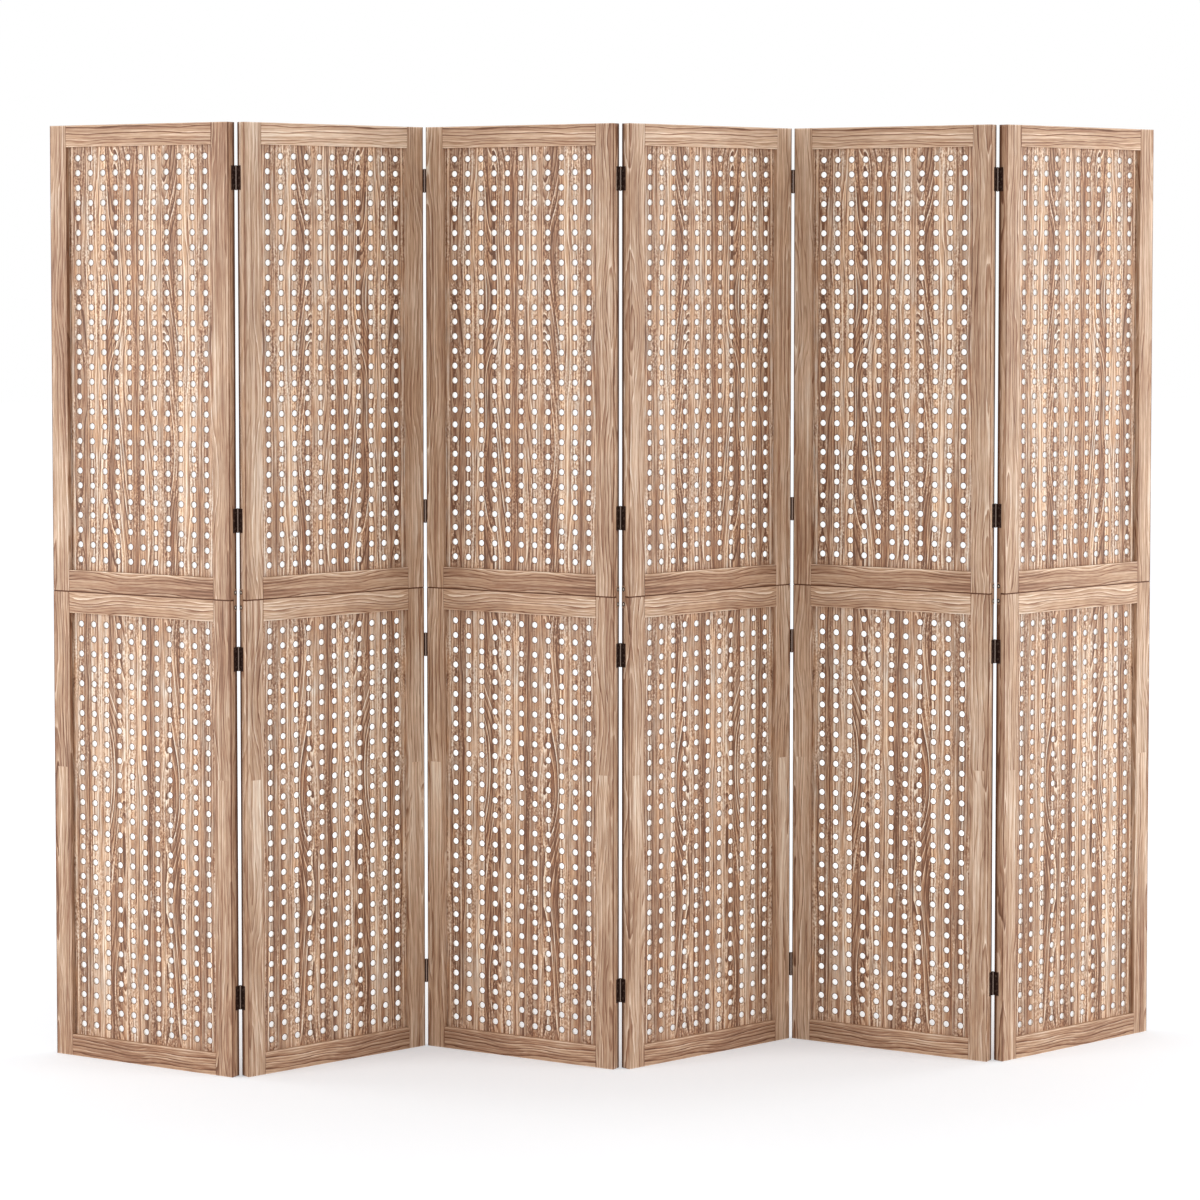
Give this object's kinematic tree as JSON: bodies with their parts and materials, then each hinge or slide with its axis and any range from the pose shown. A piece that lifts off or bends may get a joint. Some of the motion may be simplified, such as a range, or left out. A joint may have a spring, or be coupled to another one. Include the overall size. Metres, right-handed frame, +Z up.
{
  "type": "folding pegboard screen",
  "caption": "Free-standing folding wooden screen of hinged frames with drilled pegboards, to divide a room and hang things on.",
  "frame": {"origin": "middle of the footprint of the screen, standing in its zigzag, on the floor", "axes": "+Z up; +X along the row of leaves, to the right for someone who looks at the front; +Y away from that person"},
  "size_m": [2.0408, 0.2434, 1.7],
  "materials": {
    "stile_wood": "satin, limed brown with vertical grain",
    "rail_wood": "satin, limed brown with horizontal grain",
    "pegboard_wood": "satin, streaked brown with vertical grain",
    "dowel_wood": "raw beech",
    "hinge_bronze": "satin dark bronze",
    "pin_bronze": "satin dark bronze, rubbed",
    "screw_steel": "bronzed steel",
    "plate_brown": "satin brown"
  },
  "bodies": {
    "leaf_1": {"leaf_1_stiles": "stile_wood", "leaf_1_rails": "rail_wood", "leaf_1_lower_pegboard": "pegboard_wood", "leaf_1_upper_pegboard": "pegboard_wood", "leaf_1_joining_plates": "plate_brown", "leaf_1_screws": "screw_steel", "leaf_1_dowels": "dowel_wood", "hinge_1_2_left_flaps": "hinge_bronze", "hinge_1_2_pins": "pin_bronze"},
    "leaf_2": {"leaf_2_stiles": "stile_wood", "leaf_2_rails": "rail_wood", "leaf_2_lower_pegboard": "pegboard_wood", "leaf_2_upper_pegboard": "pegboard_wood", "leaf_2_joining_plates": "plate_brown", "leaf_2_screws": "screw_steel", "leaf_2_dowels": "dowel_wood", "hinge_1_2_right_flaps": "hinge_bronze", "hinge_2_3_left_flaps": "hinge_bronze", "hinge_2_3_pins": "pin_bronze"},
    "leaf_3": {"leaf_3_stiles": "stile_wood", "leaf_3_rails": "rail_wood", "leaf_3_lower_pegboard": "pegboard_wood", "leaf_3_upper_pegboard": "pegboard_wood", "leaf_3_joining_plates": "plate_brown", "leaf_3_screws": "screw_steel", "leaf_3_dowels": "dowel_wood", "hinge_2_3_right_flaps": "hinge_bronze", "hinge_3_4_left_flaps": "hinge_bronze", "hinge_3_4_pins": "pin_bronze"},
    "leaf_4": {"leaf_4_stiles": "stile_wood", "leaf_4_rails": "rail_wood", "leaf_4_lower_pegboard": "pegboard_wood", "leaf_4_upper_pegboard": "pegboard_wood", "leaf_4_joining_plates": "plate_brown", "leaf_4_screws": "screw_steel", "leaf_4_dowels": "dowel_wood", "hinge_3_4_right_flaps": "hinge_bronze", "hinge_4_5_left_flaps": "hinge_bronze", "hinge_4_5_pins": "pin_bronze"},
    "leaf_5": {"leaf_5_stiles": "stile_wood", "leaf_5_rails": "rail_wood", "leaf_5_lower_pegboard": "pegboard_wood", "leaf_5_upper_pegboard": "pegboard_wood", "leaf_5_joining_plates": "plate_brown", "leaf_5_screws": "screw_steel", "leaf_5_dowels": "dowel_wood", "hinge_4_5_right_flaps": "hinge_bronze", "hinge_5_6_left_flaps": "hinge_bronze", "hinge_5_6_pins": "pin_bronze"},
    "leaf_6": {"leaf_6_stiles": "stile_wood", "leaf_6_rails": "rail_wood", "leaf_6_lower_pegboard": "pegboard_wood", "leaf_6_upper_pegboard": "pegboard_wood", "leaf_6_joining_plates": "plate_brown", "leaf_6_screws": "screw_steel", "leaf_6_dowels": "dowel_wood", "hinge_5_6_right_flaps": "hinge_bronze"}
  },
  "joints": [
    {"name": "hinge_1_2", "type": "hinge", "parent": "leaf_1", "child": "leaf_2", "pos_m": [-0.68205, -0.10465, 0.85], "axis": [0, 0, 1], "range_deg": [-70, 110]},
    {"name": "hinge_2_3", "type": "hinge", "parent": "leaf_2", "child": "leaf_3", "pos_m": [-0.34102, 0.10465, 0.85], "axis": [0, 0, -1], "range_deg": [-70, 110]},
    {"name": "hinge_3_4", "type": "hinge", "parent": "leaf_3", "child": "leaf_4", "pos_m": [0, -0.10465, 0.85], "axis": [0, 0, 1], "range_deg": [-70, 110]},
    {"name": "hinge_4_5", "type": "hinge", "parent": "leaf_4", "child": "leaf_5", "pos_m": [0.34102, 0.10465, 0.85], "axis": [0, 0, -1], "range_deg": [-70, 110]},
    {"name": "hinge_5_6", "type": "hinge", "parent": "leaf_5", "child": "leaf_6", "pos_m": [0.68205, -0.10465, 0.85], "axis": [0, 0, 1], "range_deg": [-70, 110]}
  ]
}
